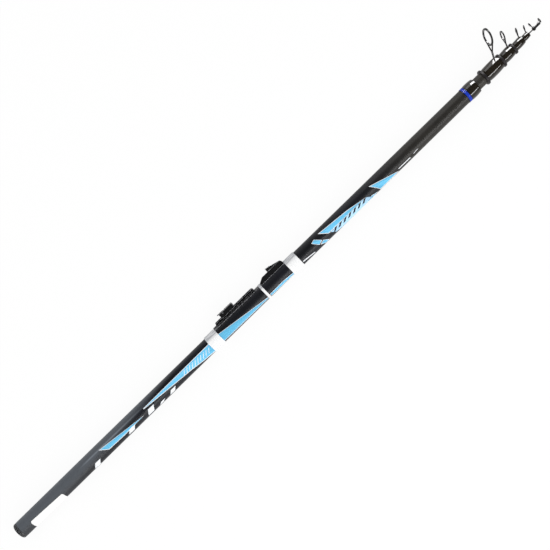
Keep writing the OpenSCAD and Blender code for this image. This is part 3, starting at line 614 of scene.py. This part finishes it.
def smooth_line(points, steps=5):
    """A curve through the points of a profile."""
    padded = [2 * points[0] - points[1], *points, 2 * points[-1] - points[-2]]
    line = []
    for a, b, c, d in zip(padded, padded[1:], padded[2:], padded[3:]):
        for u in np.arange(steps) / steps:
            line.append((2 * b + (c - a) * u + (2 * a - 5 * b + 4 * c - d) * u ** 2
                         + (3 * b - a - 3 * c + d) * u ** 3) / 2)
    return np.array(line + [points[-1]])


def spun(name, outer, inner, lift=None, sides=160):
    """A closed lathe mesh between two lines of [x, radius], with a lift by place and angle."""
    angles = np.arange(sides) * 2 * math.pi / sides
    line = [(x, r + (lift(x, angles) if lift else 0)) for x, r in outer]
    line += [(x, r) for x, r in inner[::-1]]
    corners = []
    for x, r in line:
        radii = np.broadcast_to(r, sides)
        corners.extend(zip(np.full(sides, x), radii * np.cos(angles), radii * np.sin(angles)))
    faces = []
    for row in range(len(line)):
        here, there = row * sides, (row + 1) % len(line) * sides
        for column in range(sides):
            after = (column + 1) % sides
            faces.append((here + column, here + after, there + after, there + column))
    mesh = bpy.data.meshes.new(name)
    mesh.from_pydata(corners, [], faces)
    return shaded(mesh)


def eased(u):
    u = np.clip(u, 0, 1)
    return u * u * (3 - 2 * u)


def bed_over(profile, stations):
    """The underside of a turned piece, a hair above the tube that it lies on."""
    return np.array([(x, radius_at(profile, x) + BED_GAP) for x in stations])


# %% [markdown]
# ### Wraps
#
# Each wrap hides the foot of a guide, and the lacquer heaps up over it: a long hump that grows
# towards the guide's leg and drops away at the mouth of the section. The hump is added to the
# lathe's radius, as a bell across the foot times an easing along it.

# %% Wraps with a hump over each foot
mounts = {mount["name"]: mount for mount in frame["record"]["mounts"]}
HUMP_MM = {2: 1.25, 3: 1.1, 4: 0.95, 5: 0.75}
HUMP_WIDTH_MM = {2: 3.6, 3: 3, 4: 2.4, 5: 1.9}
HUMP_PAST_MOUTH = 0.4 * MM
FOOT_THICK = 1 * MM
FULL_UNTIL = 0.43
ROUND_OFF = 1.9


def foot_span(number, tube):
    """Where the foot of a guide starts and where its leg rises, along X."""
    low = [v.co.x for v in nodes[f"guide_{number}"].data.vertices
           if reach_of(v.co) < radius_at(tube, v.co.x) + FOOT_THICK]
    return min(low), max(low)


def foot_hump(number, tube, mouth):
    start, leg = foot_span(number, tube)
    middle = mounts[f"line_guide_{number}"]["pos_m"]
    turned = math.atan2(middle[2], middle[1])
    width = HUMP_WIDTH_MM[number] * MM
    end = mouth + HUMP_PAST_MOUTH

    def lift(x, angles):
        away = (angles - turned + math.pi) % (2 * math.pi) - math.pi
        bell = np.exp(-(away * radius_at(tube, x) / width) ** 2)
        grown = eased((x - start) / (leg - start)) * eased((end - x) / (end - leg))
        return HUMP_MM[number] * MM * bell * grown

    return lift


def flowed(profile, tube):
    """The same wrap, full up to its middle and then rounding off evenly to its front edge."""
    start, end = profile[0, 0], profile[-1, 0]
    heights = np.array([r - radius_at(tube, x) for x, r in profile])
    along = (profile[:, 0] - start) / (end - start)
    fullest = int(heights.argmax())
    past = np.clip((along - FULL_UNTIL) / (1 - FULL_UNTIL), 0, 1)
    front = heights[-1] + (heights[fullest] - heights[-1]) * (1 - past ** ROUND_OFF)
    heights[fullest:] = front[fullest:]
    return np.array([(x, radius_at(tube, x) + h) for x, h in zip(profile[:, 0], heights)])


for number in (2, 3, 4, 5):
    tube = outer_profile(f"section_{number}")
    middle = Vector(mounts[f"line_guide_{number}"]["pos_m"])
    plain_side = outer_profile(f"wrap_{number}", Vector((0, middle.y, middle.z)))
    profile = flowed(smooth_line(plain_side), tube)
    bed = bed_over(tube, profile[:, 0])
    wrap_mesh = spun(f"wrap_{number}", profile, bed, foot_hump(number, tube, tube[-1, 0]))
    keep(f"lacquered_wrap_{number}", wrap_mesh, "lacquer", f"section_{number}", "lacquer",
         f"wrap_{number}")

# %% [markdown]
# ### Collar and blue band
#
# The collar at the butt's mouth is the same lacquer with no foot in it. Behind it lies a short
# band of blue thread. Its turns are real ridges, because at the band's edge they show in
# outline.

# %% Collar and blue band
STATIONS_PER_TURN = 6
END_RUN = 0.4 * MM
END_DROP = 0.12 * MM


def threaded(profile, pitch_mm, ridge_mm):
    """Stations close enough to carry thread turns, and the lift that makes the turns."""
    start, end = profile[0, 0], profile[-1, 0]
    count = int((end - start) / (pitch_mm * MM) * STATIONS_PER_TURN) + 1

    def lift(x, angles):
        round_turn = np.abs(np.sin(math.pi * (x / (pitch_mm * MM)) + angles / 2))
        inside = eased((x - start) / END_RUN) * eased((end - x) / END_RUN)
        return ridge_mm * MM * (round_turn - 1) - END_DROP * (1 - inside)

    return np.array([(x, radius_at(profile, x)) for x in np.linspace(start, end, count)]), lift


collar_line = smooth_line(outer_profile("butt_collar"))
collar_mesh = spun("collar", collar_line, bed_over(butt_line, collar_line[:, 0]), sides=192)
keep("lacquered_collar", collar_mesh, "lacquer", "butt", "lacquer", "butt_collar")

band_line, band_lift = threaded(outer_profile("butt_band"), 0.45, 0.06)
band_mesh = spun("band", band_line, bed_over(butt_line, band_line[:, 0]), band_lift)
keep("blue_band", band_mesh, "blue_thread", "butt", "blue_band", "butt_band")

# %% [markdown]
# ### White bindings
#
# Three whippings of white thread tie the seat plate to the butt. The two wide ones climb over
# the feet of the plate, so on that side the thread is lifted by the foot's thickness, and it
# spans the corner beside the foot in a straight line. The one at the waist goes over the
# whole saddle.

# %% White bindings over the seat's feet
BINDING_PITCH = 0.6
BINDING_RIDGE = 0.07
BINDING_THICK = 1.05 * MM
SPAN = 2.2 * MM


def binding_lift(name, threads):
    """Thread turns, lifted over what the binding holds down on the guide side."""
    shape = nodes[name].data
    top = max(shape.vertices, key=lambda v: v.co.y).co
    base = radius_at(butt_line, top.x)
    side_height = max(abs(v.co.z) for v in shape.vertices
                      if v.co.y > 0 and reach_of(v.co) > base + BINDING_THICK)
    plain = max(reach_of(v.co) for v in shape.vertices if v.co.y < 0) - base
    rise = reach_of(top) - base - plain

    def lift(x, angles):
        away = np.abs((angles + math.pi) % (2 * math.pi) - math.pi) * base
        over = 1 - eased((away - side_height) / SPAN)
        return threads(x, angles) + rise * over

    return lift


for name in ("back_binding", "waist_binding", "front_binding"):
    plain_side = outer_profile(name, Vector((0, 1, 0)))
    turns_line, turns = threaded(plain_side, BINDING_PITCH, BINDING_RIDGE)
    bed = bed_over(butt_line, turns_line[:, 0])
    mesh = spun(name, turns_line, bed, binding_lift(name, turns), sides=144)
    keep(f"thread_{name}", mesh, "white_thread", "butt", "binding", name)

# %% [markdown]
# ## Moulded and stamped pieces
#
# A solid drawn with square edges looks like a drawing. A moulding tool always leaves a small
# radius, which catches a line of light. A bevel on a copy of the solid's mesh gives that
# radius, and the copy stands for the solid.

# %% Round the edges of the mouldings
SHARP_DEGREES = 32


def copied(node):
    """A clean copy of a solid's mesh, with its flat faces whole again."""
    mesh = nodes[node].data.copy()
    shape = bmesh.new()
    shape.from_mesh(mesh)
    bmesh.ops.remove_doubles(shape, verts=shape.verts, dist=0.002 * MM)
    bmesh.ops.dissolve_limit(shape, angle_limit=math.radians(0.5), verts=shape.verts,
                             edges=shape.edges)
    shape.to_mesh(mesh)
    shape.free()
    return mesh


def moulded_piece(name, node, finish, body, slot, radius_mm):
    piece = keep(name, shaded(copied(node)), finish, body, slot, node)
    bevel = piece.modifiers.new("edge radius", "BEVEL")
    bevel.width = radius_mm * MM
    bevel.segments = 3
    bevel.limit_method = "ANGLE"
    bevel.angle_limit = math.radians(SHARP_DEGREES)
    bevel.miter_outer = "MITER_ARC"
    piece.modifiers.new("flat faces", "WEIGHTED_NORMAL").keep_sharp = False
    return piece


moulded_piece("seat_plate_moulding", "seat_plate", "seat", "butt", "seat", 0.35)
moulded_piece("fixed_hood_moulding", "fixed_hood", "seat", "butt", "seat", 0.35)
moulded_piece("sliding_hood_moulding", "sliding_hood", "seat", "sliding_hood", "seat", 0.25)
moulded_piece("lock_lever_moulding", "lock_lever", "seat", "lock_lever", "seat", 0.2)
for number in (2, 3, 4):
    moulded_piece(f"stop_ring_{number}_moulding", f"stop_ring_{number}", "stop_ring",
                  f"section_{number}", "stop_ring", 0.3)

# %% [markdown]
# ### Guide frames
#
# The guides are stamped, tumbled until no edge is left, and dipped in black. Tumbling rounds
# the whole piece, inner corners too, which a bevel can't do where edges meet at odd angles.
# Voxels can: the copy is rebuilt as an even skin and then relaxed, which melts every edge.

# %% Tumbled and dipped guide frames
def dipped_piece(name, node, body, voxel_mm, passes):
    piece = keep(name, nodes[node].data.copy(), "wire", body, "guide_frame", node)
    skin = piece.modifiers.new("even skin", "REMESH")
    skin.mode = "VOXEL"
    skin.voxel_size = voxel_mm * MM
    skin.use_smooth_shade = True
    relax = piece.modifiers.new("tumbled edges", "SMOOTH")
    relax.factor = 0.5
    relax.iterations = passes


for number, voxel in ((2, 0.2), (3, 0.16), (4, 0.13), (5, 0.12)):
    dipped_piece(f"guide_frame_{number}", f"guide_{number}", f"section_{number}", voxel, 9)
dipped_piece("tip_top_wires", "tip_top_frame", "tip", 0.09, 3)
dipped_piece("floating_frame", "float_guide", "float_guide", 0.11, 6)

# %% [markdown]
# ### Screw cap
#
# The butt cap unscrews to let the sections out for drying. Its solid has a smooth shank in
# place of the thread, at the thread's outer size. Here the shank is drawn in, and a lathe
# sleeve whose groove climbs one pitch a turn is put over it: the same trick as the thread
# bindings, only coarser.

# %% Screw cap with a cut thread
THREAD_PITCH = 2
THREAD_DEPTH = 0.75
LEAD_IN = 1.5 * MM
LEAD_DEPTH = 0.8

shank_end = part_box("butt_cap")[1].x
flange_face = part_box("cap_seal")[0].x
shank = [v.co for v in nodes["butt_cap"].data.vertices if v.co.x > flange_face + MM]
shank_radius = max(reach_of(corner) for corner in shank)
cap_piece = moulded_piece("butt_cap_moulding", "butt_cap", "cap", "butt_cap", "cap", 0.25)
drawn_in = shank_radius - (THREAD_DEPTH + 0.05) * MM
for vertex in cap_piece.data.vertices:
    reach = reach_of(vertex.co)
    if abs(reach - shank_radius) < 0.02 * MM and vertex.co.x > flange_face - 0.01 * MM:
        vertex.co.y *= drawn_in / reach
        vertex.co.z *= drawn_in / reach


def thread_lift(x, angles):
    """A groove that climbs round the shank and runs out at both ends."""
    turns = x / (THREAD_PITCH * MM) - angles / (2 * math.pi)
    flank = np.abs((turns % 1) - 0.5) * 2
    start = eased((x - flange_face - MM) / LEAD_IN)
    run_out = 1 - eased((shank_end - x) / LEAD_IN)
    groove = np.clip(flank * 1.5 - 0.25, 0, 1) * start
    return -THREAD_DEPTH * MM * np.maximum(groove, LEAD_DEPTH * run_out)


stations = np.linspace(flange_face + 0.02 * MM, shank_end - 0.05 * MM, 90)
thread_mesh = spun("thread", [(x, shank_radius) for x in stations],
                   [(x, drawn_in - 0.5 * MM) for x in stations], thread_lift, sides=96)
keep("butt_cap_thread", thread_mesh, "cap", "butt_cap", "cap")

# %% [markdown]
# ## Prints on the butt
#
# The butt carries screen prints: long blue wedges with thin white edges. They are ink, so they
# are made as ink, a skin a few hundredths of a millimetre thick that lies on the tube. A
# print is drawn flat, as a few corners, then sliced into narrow strips and rolled on. Each
# corner is a place along the rod as it is seen in the picture, and an angle round the tube:
# 0 is the guide side, 90 faces the camera and 180 is the far side.

# %% Roll a flat print onto the tube
FILM_MM = 0.03
FILM_GAP_MM = 0.02
STRIP_DEGREES = 4
BROAD_EDGE, FINE_EDGE = 0.85, 0.6


def true_x(seen_mm, angle):
    """Undo the camera: what lies nearer to it is seen further from the middle of the picture."""
    seen = seen_mm * MM
    height = radius_at(butt_line, seen) * math.sin(math.radians(angle))
    return centre.x + (seen - centre.x) * (1 - height / CAMERA_HEIGHT)


def rolled(name, outlines, lift_mm):
    """A mesh on the butt, from outlines of seen place and angle, with edges straight to the eye."""
    sheet = bmesh.new()
    for corners in outlines:
        flat = [(true_x(x, a), math.cos(math.radians(a)), 0) for x, a in corners]
        sheet.faces.new([sheet.verts.new(corner) for corner in flat])
    bmesh.ops.triangulate(sheet, faces=sheet.faces[:])
    for degrees in range(STRIP_DEGREES, 180, STRIP_DEGREES):
        everything = sheet.verts[:] + sheet.edges[:] + sheet.faces[:]
        bmesh.ops.bisect_plane(sheet, geom=everything, dist=1e-7,
                               plane_co=(0, math.cos(math.radians(degrees)), 0), plane_no=(0, 1, 0))
    for vertex in sheet.verts:
        x, across = vertex.co.x, max(-1, min(1, vertex.co.y))
        radius = radius_at(butt_line, x) + lift_mm * MM
        vertex.co = (x, radius * across, radius * math.sqrt(1 - across * across))
    bmesh.ops.triangulate(sheet, faces=sheet.faces[:])
    for face in sheet.faces:
        if face.normal.dot(Vector((0, *face.calc_center_median().yz))) < 0:
            face.normal_flip()
    mesh = bpy.data.meshes.new(name)
    sheet.to_mesh(mesh)
    sheet.free()
    return shaded(mesh, 60)


def print_on_butt(name, outlines, finish, layer=1):
    """One colour of ink; a higher layer lies over the ones below it."""
    film = rolled(name, outlines, layer * FILM_MM + FILM_GAP_MM)
    piece = keep(name, film, finish, "butt", "butt_blank")
    skin = piece.modifiers.new("ink", "SOLIDIFY")
    skin.thickness = FILM_MM * MM
    skin.offset = -1


def shrunk(corners, margin_mm):
    """The same outline drawn in by a margin on every side."""
    flat = [Vector((x, radius_at(butt_line, x * MM) / MM * math.cos(math.radians(a))))
            for x, a in corners]
    if sum(a.cross(b) for a, b in zip(flat, flat[1:] + flat[:1])) < 0:
        flat.reverse()
    drawn = []
    for before, here, after in zip(flat[-1:] + flat[:-1], flat, flat[1:] + flat[:1]):
        come, go = (here - before).normalized(), (after - here).normalized()
        inward = Vector((-come.y - go.y, come.x + go.x)).normalized()
        half = max(0.3, math.sqrt(max(0, (1 + come.dot(go)) / 2)))
        drawn.append(here + inward * margin_mm / half)
    outline = []
    for place in drawn:
        across = place.y / (radius_at(butt_line, place.x * MM) / MM)
        outline.append((place.x, math.degrees(math.acos(max(-1, min(1, across))))))
    return outline


def edged_print(name, corners, margin_mm=BROAD_EDGE):
    """Blue ink over a slightly larger white print, which leaves a thin white edge."""
    print_on_butt(f"{name}_edge", [corners], "white_ink")
    print_on_butt(f"{name}_blue", [shrunk(corners, margin_mm)], "blue_ink", 2)


print("a print reaches", round(true_x(172, 70) / MM, 1), "mm where the picture shows 172")

# %% [markdown]
# The wedges point along the rod in both directions from the reel seat, so that the eye runs
# from the grip to the tip. They are plain stripes and need no drawing beyond their corners.

# %% Blue wedges
edged_print("grip_wedge", [(170, 72), (183, 119), (215, 124), (256, 118)])
edged_print("seat_wedge", [(402, 77), (402, 165), (380, 147), (356, 126), (262, 88), (262, 80)])
edged_print("hood_wedge", [(418, 73), (418, 148), (513, 154), (513, 138)], FINE_EDGE)
edged_print("waist_wedge", [(518, 130), (518, 158), (566, 168), (566, 140), (545.5, 128)],
            FINE_EDGE)
edged_print("fore_block", [(615, 78), (622, 69), (631, 112), (623, 126)], FINE_EDGE)
edged_print("fore_block_low", [(624.6, 131), (632, 117), (640, 160), (633, 168)], FINE_EDGE)
edged_print("fore_wedge", [(632, 59), (645, 112), (722, 112), (688, 84), (666, 74.5)])
edged_print("fore_end", [(721, 152), (731, 138), (742, 160), (733, 170)], FINE_EDGE)
edged_print("fore_kite", [(736.5, 71), (786, 158), (772, 168), (747, 164)])

# %% [markdown]
# Beside the wedges run small slanted flashes in white, pale blue and black. Each is a
# parallelogram, and a row of them is one print. A row drifts round the tube as it goes, like
# the wedge beside it.

# %% Slanted flashes
def flash(x, middle, width_mm, height_degrees, slant_mm):
    """A parallelogram whose upper side lies further along the rod."""
    top, bottom = middle - height_degrees / 2, middle + height_degrees / 2
    over = x + slant_mm
    return [(over, top), (over + width_mm, top), (x + width_mm, bottom), (x, bottom)]


def flash_row(start, end, angles, count, width_mm, height_degrees, slant_mm):
    """Flashes spread evenly from one place and angle to another."""
    return [flash(start + (end - start) * share, angles[0] + (angles[1] - angles[0]) * share,
                  width_mm, height_degrees, slant_mm) for share in np.linspace(0, 1, count)]


grip_places = ((148, 142, 11, 44), (220, 134, 12, 34), (261, 130, 12, 44),
               (284, 148, 8, 20), (306, 140, 10, 32))
print_on_butt("grip_flashes", [flash(*place, 5) for place in grip_places], "white_ink", 3)
print_on_butt("seat_flashes", flash_row(340, 390, (104, 112), 10, 1.1, 34, 6), "white_ink", 3)
print_on_butt("fore_field", [[(648, 114), (655, 150), (668, 170), (732, 172), (722, 113)]],
              "pale_ink")
print_on_butt("fore_flashes", flash_row(651, 711, (125, 125), 7, 4.5, 25, 7), "black_ink", 3)
print_on_butt("slivers", [[(588, 125), (611, 142), (611, 154), (588, 135)],
                          [(786.5, 131), (812, 132), (812, 141), (788, 139)],
                          [(818.5, 129), (828.5, 124), (830.5, 127), (820.5, 132)]], "white_ink")

# %% [markdown]
# A blank paper label is stuck round the grip near the cap. It goes on as one rectangle with
# rounded corners and covers a quarter of the way round, out of sight at its lower edge, so
# it is drawn by angle and not by what the eye sees.

# %% Label on the grip
LABEL_START, LABEL_END = 26, 90
LABEL_TOP = (96, 108)
LABEL_TURN = 92
LABEL_CORNER = 2.5
LABEL_MM = 0.09


def label_mesh():
    """A grid over the label, cut back at its four corners, rolled onto the grip."""
    columns, rows = 40, 24
    grip = butt_line[0, 1] + FILM_GAP_MM * MM + LABEL_MM * MM
    height_mm = math.radians(LABEL_TURN) * grip / MM
    sheet = bmesh.new()
    grid = {}
    for column in range(columns + 1):
        u = column / columns
        x_mm = LABEL_START + (LABEL_END - LABEL_START) * u
        from_end = min(x_mm - LABEL_START, LABEL_END - x_mm)
        inset = max(0, LABEL_CORNER - from_end)
        cut = LABEL_CORNER - math.sqrt(max(0, LABEL_CORNER ** 2 - inset ** 2))
        for row in range(rows + 1):
            down_mm = cut + (height_mm - 2 * cut) * row / rows
            top = math.radians(LABEL_TOP[0] + (LABEL_TOP[1] - LABEL_TOP[0]) * u)
            angle = top + down_mm * MM / grip
            corner = (x_mm * MM, grip * math.cos(angle), grip * math.sin(angle))
            grid[column, row] = sheet.verts.new(corner)
    for column in range(columns):
        for row in range(rows):
            sheet.faces.new([grid[column, row], grid[column + 1, row],
                             grid[column + 1, row + 1], grid[column, row + 1]])
    bmesh.ops.recalc_face_normals(sheet, faces=sheet.faces[:])
    middle = sheet.faces[:][len(sheet.faces) // 2]
    if middle.normal.dot(Vector((0, *middle.calc_center_median().yz))) < 0:
        bmesh.ops.reverse_faces(sheet, faces=sheet.faces[:])
    mesh = bpy.data.meshes.new("label")
    sheet.to_mesh(mesh)
    sheet.free()
    return shaded(mesh, 60)


label = keep("grip_label", label_mesh(), "label", "butt", "butt_blank")
paper = label.modifiers.new("paper", "SOLIDIFY")
paper.thickness = LABEL_MM * MM
paper.offset = -1

# %% [markdown]
